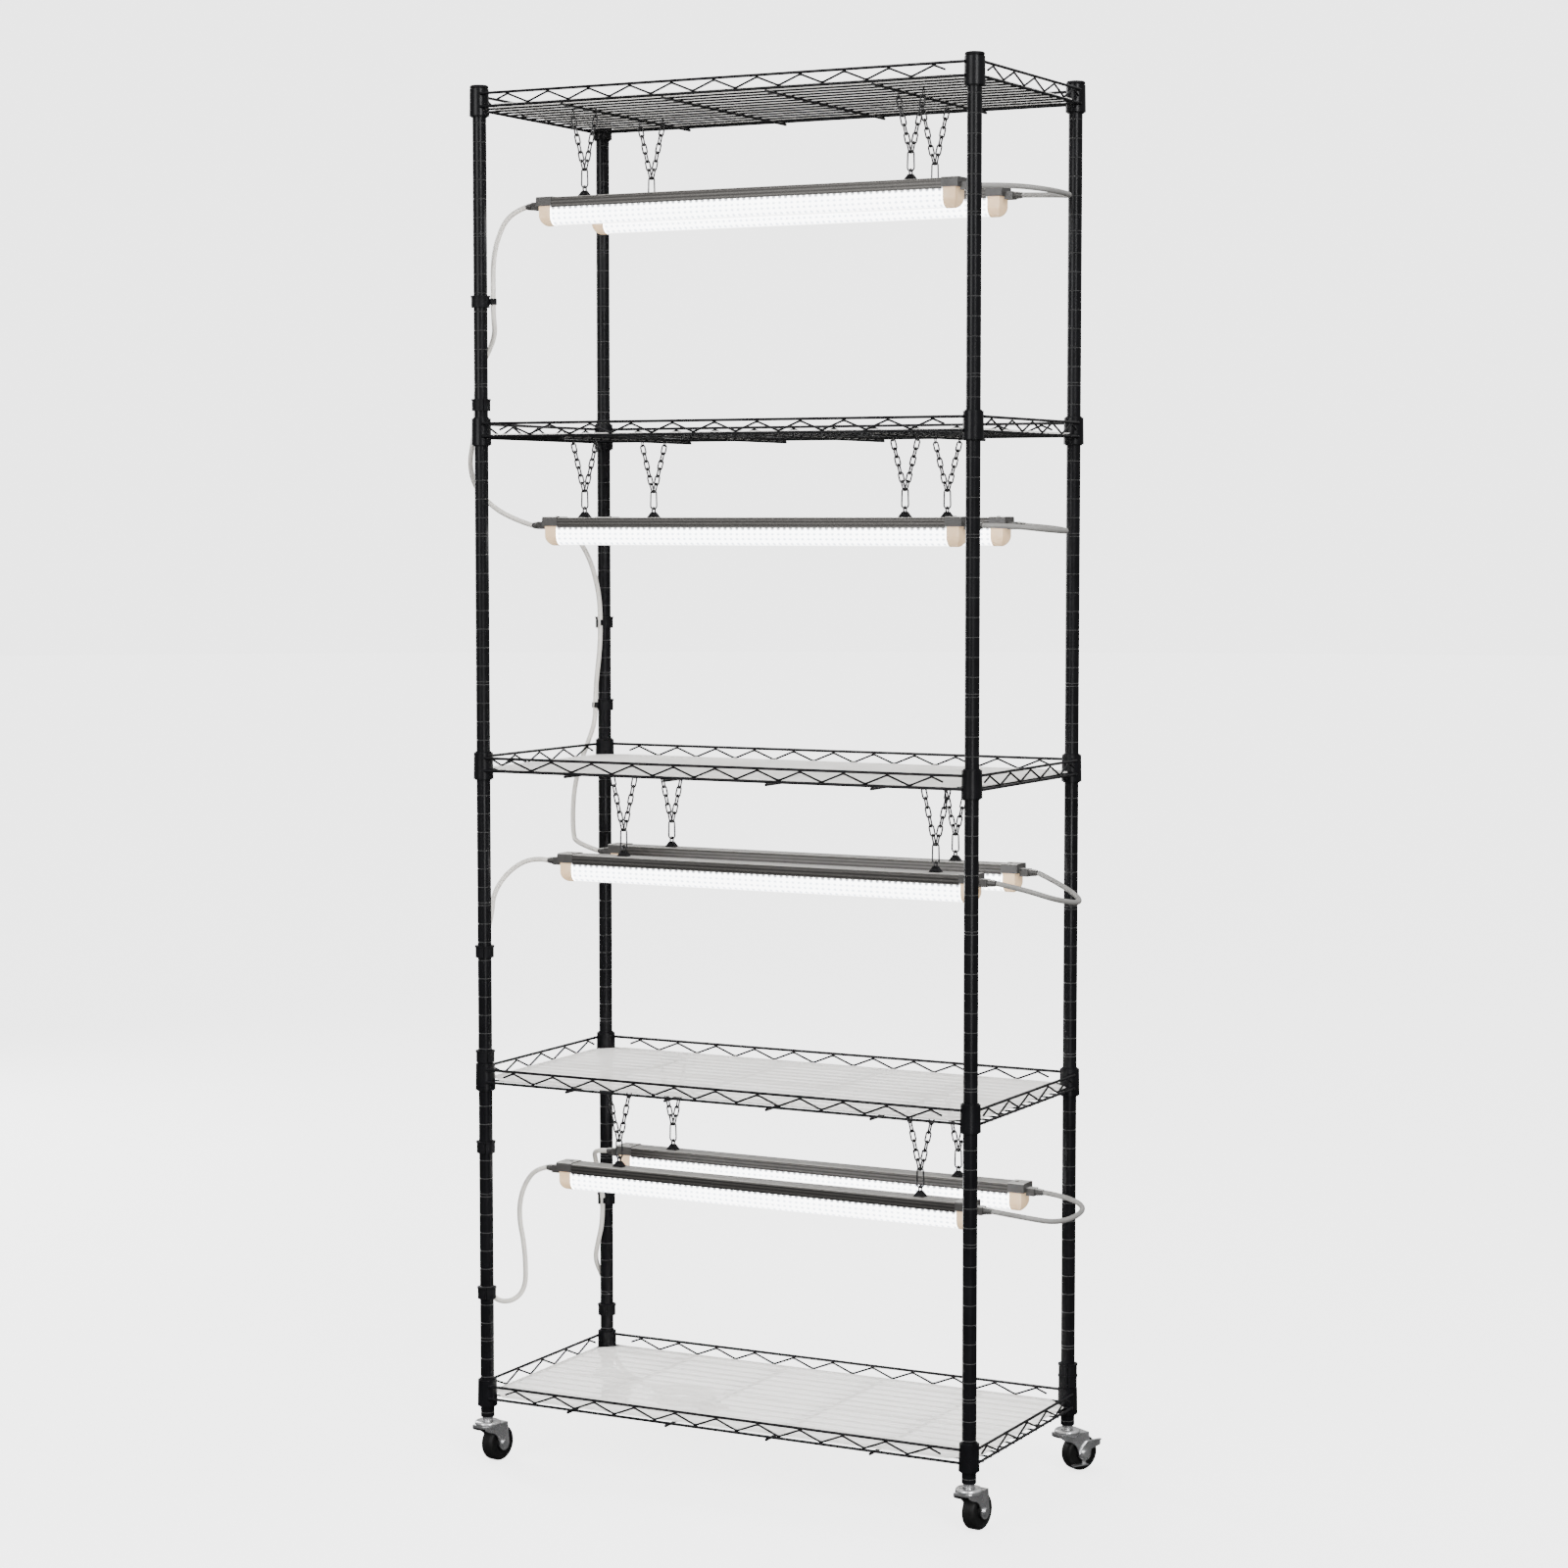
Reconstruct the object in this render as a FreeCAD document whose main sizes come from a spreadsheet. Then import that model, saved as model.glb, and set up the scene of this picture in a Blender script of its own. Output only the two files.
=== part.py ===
import FreeCAD, Part
import math
import os
import Sketcher
from FreeCAD import Placement, Rotation, Vector

# Five-shelf wire rack with hanging grow lights.
# Millimetres. X is the long side, Y the depth with the front at -Y, Z up.
# The origin is on the floor below the middle of the rack.

doc = FreeCAD.newDocument("wire_rack")
sheet = doc.addObject("Spreadsheet::Sheet", "dims")

DIMS = [
    ("span_x", 736.6), ("span_y", 330.2), ("post_dia", 19.05), ("post_bore", 16.65),
    ("post_base", 66.0), ("post_joint", 976.0), ("post_top", 1897.5),
    ("groove_pitch", 25.4), ("groove_count", 34.0), ("groove_size", 0.9),
    ("level_one", 82.0), ("level_two", 526.5), ("level_three", 958.3),
    ("level_four", 1415.5), ("level_five", 1860.0),
    ("collar_height", 36.0), ("collar_low_r", 13.8), ("collar_top_r", 13.2),
    ("sleeve_low_r", 11.6), ("sleeve_slope", 0.0139), ("sleeve_lip", 1.5),
    ("rim_out", 10.5), ("rim_dia", 3.8), ("truss_dia", 2.8), ("rim_high_z", 29.0),
    ("rim_low_z", 11.5), ("side_low_z", 10.4), ("deck_dia", 2.6), ("deck_pitch", 25.0),
    ("bar_dia", 3.8), ("bar_z", 7.7), ("bar_pitch", 154.0), ("bar_over", 0.0),
    ("liner_x", 748.0), ("liner_y", 342.0), ("liner_thick", 1.2), ("liner_gap", 2.0),
    ("liner_cut", 34.0), ("wheel_dia", 50.0), ("wheel_width", 20.0), ("trail", 20.0),
    ("lamp_y", 75.0), ("lamp_len", 636.0), ("channel_w", 30.0), ("channel_h", 14.0),
    ("tier_one", 398.0), ("tier_two", 832.0), ("tier_three", 1298.0), ("tier_four", 1736.0),
    ("cord_dia", 7.0), ("clip_height", 16.0), ("clip_r", 12.7),
]
for row, (alias, value) in enumerate(DIMS, start=1):
    sheet.set("A%d" % row, alias)
    sheet.set("B%d" % row, str(value))
    sheet.setAlias("B%d" % row, alias)
doc.recompute()
D = {alias: value for alias, value in DIMS}

LEVELS = ["level_one", "level_two", "level_three", "level_four", "level_five"]
CORNERS = {"fl": (-1, -1), "fr": (1, -1), "br": (1, 1), "bl": (-1, 1)}
HX = D["span_x"] / 2
HY = D["span_y"] / 2
POST_R = D["post_dia"] / 2


# ---------------------------------------------------------------- helpers

def bind(obj, **exprs):
    """Ties properties of an object to spreadsheet expressions."""
    for key, text in exprs.items():
        obj.setExpression(key.replace("__", "."), text)
    return obj


def alias(text):
    """Writes dims.NAME wherever a known alias stands in an expression."""
    out = []
    word = ""
    for ch in text + " ":
        if ch.isalnum() or ch == "_":
            word += ch
            continue
        out.append("dims." + word if word in D else word)
        word = ""
        out.append(ch)
    return "".join(out).strip()


def place(obj, x=None, y=None, z=None, rot=None):
    """Places an object by expressions for its position."""
    obj.Placement = Placement(Vector(0, 0, 0), rot or Rotation())
    for axis, text in (("x", x), ("y", y), ("z", z)):
        if text is not None:
            obj.setExpression("Placement.Base." + axis, alias(str(text)))
    return obj


def cylinder(name, radius, height, x=None, y=None, z=None, rot=None):
    obj = doc.addObject("Part::Cylinder", name)
    obj.setExpression("Radius", alias(str(radius)))
    obj.setExpression("Height", alias(str(height)))
    return place(obj, x, y, z, rot)


def cone(name, low, top, height, x=None, y=None, z=None, rot=None):
    obj = doc.addObject("Part::Cone", name)
    obj.setExpression("Radius1", alias(str(low)))
    obj.setExpression("Radius2", alias(str(top)))
    obj.setExpression("Height", alias(str(height)))
    return place(obj, x, y, z, rot)


def box(name, length, width, height, x=None, y=None, z=None, rot=None):
    obj = doc.addObject("Part::Box", name)
    obj.setExpression("Length", alias(str(length)))
    obj.setExpression("Width", alias(str(width)))
    obj.setExpression("Height", alias(str(height)))
    return place(obj, x, y, z, rot)


def ring(name, big, small, x=None, y=None, z=None, rot=None):
    obj = doc.addObject("Part::Torus", name)
    obj.setExpression("Radius1", alias(str(big)))
    obj.setExpression("Radius2", alias(str(small)))
    return place(obj, x, y, z, rot)


def cut(name, base, tool):
    obj = doc.addObject("Part::Cut", name)
    obj.Base = base
    obj.Tool = tool
    return obj


def fuse(name, parts):
    obj = doc.addObject("Part::MultiFuse", name)
    obj.Shapes = parts
    obj.Refine = False
    return obj


def group(name, parts):
    obj = doc.addObject("Part::Compound", name)
    obj.Links = parts
    return obj


def copy_of(name, master, x=None, y=None, z=None, rot=None):
    """A placed instance of a master part."""
    return place(group(name, [master]), x, y, z, rot)


def solid_feature(name, shape):
    """Holds a swept or patterned shape that no primitive makes."""
    obj = doc.addObject("Part::Feature", name)
    obj.Shape = shape
    return obj


def turn_z(degrees):
    return Rotation(Vector(0, 0, 1), degrees)


ALONG_X = Rotation(Vector(0, 1, 0), 90)
ALONG_Y = Rotation(Vector(1, 0, 0), -90)
NODES = []


def node(name, obj):
    obj.Label = name
    NODES.append(obj)
    return obj


def plane_of(body, role):
    for item in body.Origin.OriginFeatures:
        if item.Role == role:
            return item
    return None


def sketch_on(body, name, role, lift=0.0):
    sk = body.newObject("Sketcher::SketchObject", name)
    sk.AttachmentSupport = (plane_of(body, role), [""])
    sk.MapMode = "FlatFace"
    sk.AttachmentOffset = Placement(Vector(0, 0, lift), Rotation())
    return sk


def draw(sk, path):
    """Closed outline. A point (x, y) ends a line, (mx, my, x, y) ends an arc through (mx, my)."""
    start = path[0]
    here = start
    for step in list(path[1:]) + [start]:
        a = Vector(here[-2], here[-1], 0)
        b = Vector(step[-2], step[-1], 0)
        if len(step) == 4:
            arc = Part.Arc(a, Vector(step[0], step[1], 0), b)
            sk.addGeometry(arc, False)
        elif (a - b).Length > 1e-6:
            sk.addGeometry(Part.LineSegment(a, b), False)
        here = step
    return sk


def rectangle(sk, x0, y0, x1, y1):
    return draw(sk, [(x0, y0), (x1, y0), (x1, y1), (x0, y1)])


def pad(body, sk, length, both=True):
    feat = body.newObject("PartDesign::Pad", sk.Name + "_pad")
    feat.Profile = sk
    feat.setExpression("Length", alias(str(length)))
    if both:
        feat.Midplane = True
    body.Tip = feat
    return feat


def pocket(body, sk, length, both=True):
    feat = body.newObject("PartDesign::Pocket", sk.Name + "_pocket")
    feat.Profile = sk
    feat.setExpression("Length", alias(str(length)))
    if both:
        feat.Midplane = True
    body.Tip = feat
    return feat


def revolve(body, sk, feature="PartDesign::Revolution"):
    feat = body.newObject(feature, sk.Name + "_turn")
    feat.Profile = sk
    feat.ReferenceAxis = (sk, ["V_Axis"])
    feat.Angle = 360
    body.Tip = feat
    return feat


def new_body(name):
    return doc.addObject("PartDesign::Body", name)


# ---------------------------------------------------------------- swept wires and cords

def rounded_path(points, share=0.45):
    """Straight runs joined by tangent arcs, with each arc's radius."""
    pts = [Vector(*p) for p in points]
    edges = []
    radii = []
    here = pts[0]
    for i in range(1, len(pts) - 1):
        before = pts[i] - pts[i - 1]
        after = pts[i + 1] - pts[i]
        half = before.getAngle(after) / 2
        if half < 0.002:
            continue
        reach = share * min(before.Length, after.Length)
        radius = reach / math.tan(half)
        radii.append(radius)
        u = before.normalize()
        v = after.normalize()
        start = pts[i] - u * reach
        end = pts[i] + v * reach
        centre = pts[i] + (v - u).normalize() * (radius / math.cos(half))
        middle = centre + (pts[i] - centre).normalize() * radius
        if (start - here).Length > 1e-5:
            edges.append(Part.LineSegment(here, start).toShape())
        edges.append(Part.Arc(start, middle, end).toShape())
        here = end
    edges.append(Part.LineSegment(here, pts[-1]).toShape())
    return Part.Wire(edges), radii


def tube(points, diameter, share=0.45):
    wire, radii = rounded_path(points, share)
    first = Vector(*points[1]) - Vector(*points[0])
    disc = Part.Wire(Part.makeCircle(diameter / 2, Vector(*points[0]), first))
    shape = wire.makePipeShell([disc], True, False)
    if shape.ShapeType != "Solid":
        shape = Part.Solid(shape)
    if shape.Volume < 0:
        shape.reverse()
    return shape, wire.Length, radii


def closed_loop(edges, diameter):
    """A round bar along a closed chain of edges."""
    wire = Part.Wire(edges)
    at = wire.Edges[0].valueAt(wire.Edges[0].FirstParameter)
    along = wire.Edges[0].tangentAt(wire.Edges[0].FirstParameter)
    disc = Part.Wire(Part.makeCircle(diameter / 2, at, along))
    shape = wire.makePipeShell([disc], True, False)
    if shape.Volume < 0:
        shape.reverse()
    return shape


# ---------------------------------------------------------------- posts

def post_section(name, low, top):
    """A rolled tube with a shallow ring groove every inch and a double ring every eighth inch."""
    body = new_body(name)
    sk = sketch_on(body, name + "_wall", "XZ_Plane")
    rectangle(sk, D["post_bore"] / 2, D[low], POST_R, D[top])
    revolve(body, sk)
    pitch = D["groove_pitch"]
    size = D["groove_size"]
    first = math.ceil((D[low] + 6 - 21.4) / pitch) * pitch + 21.4
    count = int((D[top] - 6 - first) / pitch) + 1
    for tag, start, step, number in (("ring", first, pitch, count),
                                     ("twin", first + 4 * pitch + 4.0, 8 * pitch, (count - 1) // 8)):
        g = sketch_on(body, name + "_" + tag, "XZ_Plane")
        draw(g, [(POST_R + 0.3, start - size), (POST_R - 0.55, start), (POST_R + 0.3, start + size)])
        one = revolve(body, g, "PartDesign::Groove")
        many = body.newObject("PartDesign::LinearPattern", name + "_" + tag + "_row")
        many.Originals = [one]
        many.Direction = (g, ["V_Axis"])
        many.Length = step * (number - 1)
        many.Occurrences = number
        body.Tip = many
    return body


def corner_copies(prefix, master, z=None, turn=None):
    made = []
    for corner, (sx, sy) in CORNERS.items():
        rot = turn_z(turn[corner]) if turn else None
        made.append(copy_of(prefix + "_" + corner, master, "%d * span_x / 2" % sx,
                            "%d * span_y / 2" % sy, z, rot))
    return made


low_post = post_section("post_low", "post_base", "post_joint")
high_post = post_section("post_high", "post_joint", "post_top")
node("lower_posts", group("lower_posts", corner_copies("post_l", low_post)))
node("upper_posts", group("upper_posts", corner_copies("post_u", high_post)))

joiner = cylinder("joiner", "post_bore / 2", "60", z="post_joint - 30")
node("post_joiners", group("post_joiners", corner_copies("joiner", joiner)))

cap = new_body("cap")
cap_sk = sketch_on(cap, "cap_half", "XZ_Plane")
CAP_R = 12.8
draw(cap_sk, [(0, -14), (D["post_bore"] / 2 - 0.6, -14), (D["post_bore"] / 2, -11), (D["post_bore"] / 2, 0),
              (CAP_R, 0), (CAP_R, 1.6), (CAP_R - 0.75, 3.05, CAP_R - 2.2, 3.7), (0, 4.2)])
revolve(cap, cap_sk)
node("post_caps", group("post_caps", corner_copies("cap", cap, "post_top")))

insert = cut("foot_insert", cylinder("insert_plug", "post_bore / 2", "24", z="post_base"),
             cylinder("insert_hole", "5.05", "30", z="post_base - 2"))
node("foot_inserts", group("foot_inserts", corner_copies("insert", insert)))


# ---------------------------------------------------------------- shelves

def sleeve_r(z):
    """Outer radius of the tapered split sleeve at a height above the collar's lower edge."""
    return D["sleeve_low_r"] - D["sleeve_slope"] * z


COLLAR_H = D["collar_height"]
collar = cut("collar", cone("collar_skin", "collar_low_r", "collar_top_r", "collar_height"),
             cone("collar_bore", "sleeve_low_r", "sleeve_low_r - sleeve_slope * collar_height", "collar_height"))

SLEEVE_LEN = "collar_height + 2 * sleeve_lip"
sleeve_ring = cut("sleeve_ring",
                  cone("sleeve_skin", "sleeve_low_r + sleeve_slope * sleeve_lip",
                       "sleeve_low_r - sleeve_slope * (collar_height + sleeve_lip)", SLEEVE_LEN, z="-sleeve_lip"),
                  cylinder("sleeve_bore", "post_dia / 2", SLEEVE_LEN, z="-sleeve_lip"))
sleeve = cut("sleeve_pair", sleeve_ring, box("sleeve_slot", "40", "1", "50", "-20", "-0.5", "-5"))

FRONT_Y = HY + D["rim_out"]
SIDE_X = HX + D["rim_out"]
REACH_X = HX - 8.5
REACH_Y = HY - 8.5


def truss(half, low, high, pitch, count):
    """Zigzag bar between two rim bars, along X, with stubs that stop half way up."""
    lift = (D["truss_dia"] + D["rim_dia"]) / 2 - 0.8
    top = high - lift
    base = low + lift
    mid = (top + base) / 2
    first = -pitch * (count - 1) / 2
    pts = [(first - pitch / 4, 0, mid)]
    for i in range(count):
        pts.append((first + i * pitch, 0, top))
        if i < count - 1:
            pts.append((first + (i + 0.5) * pitch, 0, base))
    pts.append((-first + pitch / 4, 0, mid))
    shape, length, radii = tube(pts, D["truss_dia"], 0.1)
    return shape


def rim_bar(name, half, z, y):
    return cylinder(name, "rim_dia / 2", "2 * " + half, "-" + half, y, z, ALONG_X)


long_truss = solid_feature("long_truss", truss(REACH_X, D["rim_low_z"], D["rim_high_z"], 63.3, 11))
place(long_truss, y="-(span_y / 2 + rim_out)")
long_raw = fuse("long_raw", [
    rim_bar("long_high", "(span_x / 2 - 8.5)", "rim_high_z", "-(span_y / 2 + rim_out)"),
    rim_bar("long_low", "(span_x / 2 - 8.5)", "rim_low_z", "-(span_y / 2 + rim_out)"), long_truss])

side_truss = solid_feature("side_truss", truss(REACH_Y, D["side_low_z"], D["rim_high_z"], 66.0, 5))
stubs = []
DECK_ROWS = 13
for i in range(DECK_ROWS):
    offset = "deck_pitch * %d" % (i - DECK_ROWS // 2)
    stubs.append(cylinder("stub_%d" % i, "deck_dia / 2", "rim_dia / 2 + 1.5", offset, "0", "side_low_z",
                          Rotation(Vector(1, 0, 0), 90)))
side_raw = fuse("side_raw", [
    rim_bar("side_high", "(span_y / 2 - 8.5)", "rim_high_z", "0"),
    rim_bar("side_low", "(span_y / 2 - 8.5)", "side_low_z", "0"), side_truss] + stubs)
side_set = place(group("side_set", [side_raw]), x="span_x / 2 + rim_out", rot=turn_z(90))

collar_block = group("collar_block", corner_copies(
    "block", cone("block_skin", "collar_low_r", "collar_top_r", "collar_height")))
front_rim = cut("front_rim", long_raw, collar_block)
right_rim = cut("right_rim", side_set, collar_block)
back_rim = place(group("back_rim", [front_rim]), rot=turn_z(180))
left_rim = place(group("left_rim", [right_rim]), rot=turn_z(180))

deck_bars = []
for i in range(DECK_ROWS):
    deck_bars.append(cylinder("row_%d" % i, "deck_dia / 2", "span_x + 2 * rim_out - rim_dia",
                              "-(span_x + 2 * rim_out - rim_dia) / 2", "deck_pitch * %d" % (i - DECK_ROWS // 2),
                              "side_low_z", ALONG_X))
for i in range(4):
    deck_bars.append(cylinder("bar_%d" % i, "bar_dia / 2", "span_y + 2 * rim_out + rim_dia + 2 * bar_over",
                              "bar_pitch * %.1f" % (i - 1.5), "-(span_y / 2 + rim_out + rim_dia / 2 + bar_over)",
                              "bar_z", ALONG_Y))
deck = fuse("deck", deck_bars)

shelf_master = group("shelf_master", corner_copies("collar", collar)
                     + [front_rim, right_rim, back_rim, left_rim, deck])
for number, level in enumerate(LEVELS, start=1):
    node("shelf_%d" % number, copy_of("shelf_%d" % number, shelf_master, z=level))

sleeves = []
for number, level in enumerate(LEVELS, start=1):
    turn = {"fl": 40, "fr": -35, "br": 30, "bl": -40}
    sleeves += corner_copies("sleeve_%d" % number, sleeve, level, turn)
node("split_sleeves", group("split_sleeves", sleeves))

liner_body = new_body("liner")
liner_sk = sketch_on(liner_body, "liner_outline", "XY_Plane")
lx = D["liner_x"] / 2
ly = D["liner_y"] / 2
lc = D["liner_cut"]
draw(liner_sk, [(lx - lc, -ly), (lx, -ly + lc), (lx, ly - lc), (lx - lc, ly),
                (-lx + lc, ly), (-lx, ly - lc), (-lx, -ly + lc), (-lx + lc, -ly)])
pad(liner_body, liner_sk, "liner_thick", False)
rib_sk = sketch_on(liner_body, "liner_ribs", "XY_Plane")
for y in (-150.0, 0.0, 150.0):
    rectangle(rib_sk, -340, y - 1.3, 340, y + 1.3)
rib_pad = pad(liner_body, rib_sk, "liner_gap", False)
rib_pad.Reversed = True
liners = []
for number, level in enumerate(LEVELS, start=1):
    liners.append(copy_of("liner_%d" % number, liner_body,
                          z=level + " + side_low_z + deck_dia / 2 + liner_gap"))
node("shelf_liners", group("shelf_liners", liners))


# ---------------------------------------------------------------- casters

AXLE_Z = D["wheel_dia"] / 2
TRAIL = D["trail"]
PLATE_LOW = 51.5
PLATE_TOP = 54.5

stem = fuse("stem", [cylinder("stem_rod", "5", "38", z="50"), cylinder("stem_washer", "7.5", "post_base - 61.4", z="61.4"),
                     cylinder("stem_rivet", "7", "2.6", z="48.5")])
node("caster_stems", group("caster_stems", corner_copies("stem", stem)))


def fork_body():
    body = new_body("fork")
    side = sketch_on(body, "fork_side", "XZ_Plane")
    draw(side, [(-17.5, PLATE_TOP), (-17.5, 49.5), (-14, 47), (-7, 44.5), (3, 40, 9.5, 31), (11, AXLE_Z),
                (TRAIL + 0.5, AXLE_Z - 10, 30.5, AXLE_Z), (27.5, PLATE_TOP)])
    pad(body, side, "26")
    gap = sketch_on(body, "fork_gap", "XZ_Plane")
    draw(gap, [(-30, 0), (60, 0), (60, PLATE_LOW), (-30, PLATE_LOW)])
    pocket(body, gap, "22")
    cup = sketch_on(body, "fork_cup", "XZ_Plane")
    draw(cup, [(0, PLATE_LOW), (16.5, PLATE_LOW), (18, 53.5), (18, 57), (16.5, 59.4, 13, 60.2), (9.5, 61), (0, 61)])
    revolve(body, cup)
    bore = sketch_on(body, "fork_bore", "XY_Plane", 45)
    bore.addGeometry(Part.Circle(Vector(0, 0, 0), Vector(0, 0, 1), 5.05), False)
    pocket(body, bore, "60")
    eyes = sketch_on(body, "fork_eyes", "XZ_Plane")
    eyes.addGeometry(Part.Circle(Vector(TRAIL, AXLE_Z, 0), Vector(0, 0, 1), 3.0), False)
    pocket(body, eyes, "40")
    return body


fork = fork_body()


def axle_bolt(name, reach):
    """Bolt along Y with its head at -Y, standing the given distance off the middle."""
    return fuse(name, [
        cylinder(name + "_shank", "3", str(15 + reach), "trail", str(-reach), "wheel_dia / 2", ALONG_Y),
        cylinder(name + "_head", "5", "2.5", "trail", str(-reach - 2.5), "wheel_dia / 2", ALONG_Y),
        cylinder(name + "_nut", "4.8", "2.8", "trail", "13", "wheel_dia / 2", ALONG_Y)])


plain_fork = group("plain_fork", [fork, axle_bolt("short_bolt", 13.0)])
brake_fork = group("brake_fork", [fork, axle_bolt("long_bolt", 15.2)])

wheel = new_body("wheel")
wheel_sk = sketch_on(wheel, "wheel_half", "XZ_Plane")
WR = D["wheel_dia"] / 2
WW = D["wheel_width"] / 2
draw(wheel_sk, [(3.05, -WW), (9, -WW), (10, -WW + 2.5), (18, -WW + 2.5), (19, -WW), (WR - 5, -WW),
                (WR - 1.2, -WW + 1.8, WR, -WW + 6), (WR, WW - 6), (WR - 1.2, WW - 1.8, WR - 5, WW), (19, WW),
                (18, WW - 2.5), (10, WW - 2.5), (9, WW), (3.05, WW)])
revolve(wheel, wheel_sk)
wheel_up = place(group("wheel_up", [wheel]), x="trail", z="wheel_dia / 2", rot=Rotation(Vector(1, 0, 0), 90))

# Side brake: a pressed plate that turns on the axle bolt, with a tab to step on at the back.
LEVER_Y = 13.3
lever = new_body("brake_lever")
lever_sk = sketch_on(lever, "lever_outline", "XZ_Plane", LEVER_Y)
draw(lever_sk, [(11.5, AXLE_Z), (TRAIL + 0.5, AXLE_Z - 9.3, 29.5, AXLE_Z), (30.5, 30.5), (45, 34.5), (46, 36),
                (46, 42), (45, 43.5), (33, 43.5), (24, 42), (16, 35)])
lever_sk.addGeometry(Part.Circle(Vector(TRAIL, AXLE_Z, 0), Vector(0, 0, 1), 3.05), False)
pad(lever, lever_sk, "1.6", False)
lever_set = fuse("lever_set", [
    lever, box("lever_neck", "6", "1.6", "7", "15", str(-LEVER_Y - 1.6), "11"),
    box("lever_foot", "24", "7", "1.8", "-3", str(-LEVER_Y - 7.5), "10.6"),
    box("lever_lip", "13", "3.5", "1.5", "33", str(-LEVER_Y - 4.5), "42")])

SWIVEL = {"fl": 80.5, "fr": 82.5, "br": 59.0, "bl": 75.0}
for corner, (sx, sy) in CORNERS.items():
    at = ("%d * span_x / 2" % sx, "%d * span_y / 2" % sy, None, turn_z(SWIVEL[corner]))
    braked = corner in ("br", "bl")
    node("fork_" + corner, copy_of("fork_" + corner, brake_fork if braked else plain_fork, *at))
    node("wheel_" + corner, copy_of("wheel_" + corner, wheel_up, *at))
    if braked:
        node("brake_lever_" + corner, copy_of("lever_" + corner, lever_set, *at))


# ---------------------------------------------------------------- lamps

LAMP_HALF = D["lamp_len"] / 2
BLOCK = 24.0
CHANNEL_HALF = LAMP_HALF - BLOCK
CAP_LEN = 18.0

channel = new_body("channel")
ch = sketch_on(channel, "channel_section", "YZ_Plane")
cw = D["channel_w"] / 2
draw(ch, [(-cw, 5), (-cw, 16), (-cw + 0.9, 18.1, -cw + 3, 19), (cw - 3, 19), (cw - 0.9, 18.1, cw, 16), (cw, 5),
          (cw - 1.4, 5), (cw - 1.4, 17.6), (-cw + 1.4, 17.6), (-cw + 1.4, 5)])
pad(channel, ch, "lamp_len - 48")

block = new_body("end_block")
bk = sketch_on(block, "block_section", "YZ_Plane", CHANNEL_HALF)
draw(bk, [(-15.4, 7), (-15.4, 17), (-14.5, 19.2, -12.4, 20), (12.4, 20), (14.5, 19.2, 15.4, 17), (15.4, 7)])
pad(block, bk, "24", False)
screw_sk = sketch_on(block, "block_screw", "XY_Plane", 20.0)
screw_sk.addGeometry(Part.Circle(Vector(CHANNEL_HALF + 8, 0, 0), Vector(0, 0, 1), 2.6), False)
pad(block, screw_sk, "0.9", False)

board = box("led_board", "lamp_len - 48", "27.2", "1.4", "-(lamp_len - 48) / 2", "-13.6", "7")

plug_end = fuse("lamp_plug", [
    box("plug_block", "12", "15", "10.4", "lamp_len / 2", "-7.5", "2.8"),
    cone("plug_taper", "5.2", "4.0", "12", "lamp_len / 2 + 11", "0", "8", ALONG_X),
    ring("plug_rib_a", "4.6", "0.6", "lamp_len / 2 + 14", "0", "8", ALONG_X),
    ring("plug_rib_b", "4.4", "0.6", "lamp_len / 2 + 17", "0", "8", ALONG_X),
    ring("plug_rib_c", "4.1", "0.6", "lamp_len / 2 + 20", "0", "8", ALONG_X)])
end_right = group("end_right", [block, plug_end])
end_left = place(group("end_left", [end_right]), rot=turn_z(180))
housing = group("housing", [channel, board, end_right, end_left])

diffuser = new_body("diffuser")
df = sketch_on(diffuser, "diffuser_section", "YZ_Plane")
draw(df, [(-13, 7), (-13, -6), (0, -19, 13, -6), (13, 7), (11.5, 7), (11.5, -6), (0, -17.5, -11.5, -6), (-11.5, 7)])
pad(diffuser, df, "lamp_len - 44")

dome = new_body("diffuser_cap_side")
dm = sketch_on(dome, "cap_side", "XZ_Plane")
c0 = LAMP_HALF - 22.0
draw(dm, [(c0, 7), (c0, -22), (c0 + 8, -22), (c0 + 14.5, -16.5, c0 + CAP_LEN, -6), (c0 + CAP_LEN, 7)])
pad(dome, dm, "40")
dome_d = new_body("diffuser_cap_front")
dd = sketch_on(dome_d, "cap_front", "YZ_Plane", c0)
draw(dd, [(-13.8, 7), (-13.8, -6), (0, -19.8, 13.8, -6), (13.8, 7)])
pad(dome_d, dd, "20", False)
dome_cap = doc.addObject("Part::Common", "diffuser_cap")
dome_cap.Base = dome
dome_cap.Tool = dome_d
cap_left = place(group("cap_left", [dome_cap]), rot=turn_z(180))
glow = group("glow", [diffuser, dome_cap, cap_left])

WIRE_D = 1.4
CHAIN_D = 2.2
CHAIN_W = 6.6
TOP_R = 2.3


def oval(length, width):
    """Centre line of a chain link along Z, in the YZ plane, centred on the origin."""
    r = width / 2
    h = length / 2 - r
    return [Part.Arc(Vector(0, r, h), Vector(0, 0, h + r), Vector(0, -r, h)).toShape(),
            Part.LineSegment(Vector(0, -r, h), Vector(0, -r, -h)).toShape(),
            Part.Arc(Vector(0, -r, -h), Vector(0, 0, -h - r), Vector(0, r, -h)).toShape(),
            Part.LineSegment(Vector(0, r, -h), Vector(0, r, h)).toShape()]


def strand(start, end, count):
    """Chain links from start to end, every second one turned a quarter turn."""
    axis = end - start
    step = axis.Length / count
    axis.normalize()
    swing = Rotation(Vector(0, 0, 1), axis)
    link = closed_loop(oval(step + 0.3 + CHAIN_D, CHAIN_W), CHAIN_D)
    links = []
    for i in range(count):
        piece = link.copy()
        quarter = Rotation(Vector(0, 0, 1), 90.0 * (i % 2))
        piece.Placement = Placement(start + axis * (step * (i + 0.5)), swing.multiply(quarter))
        links.append(piece)
    return links


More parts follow.
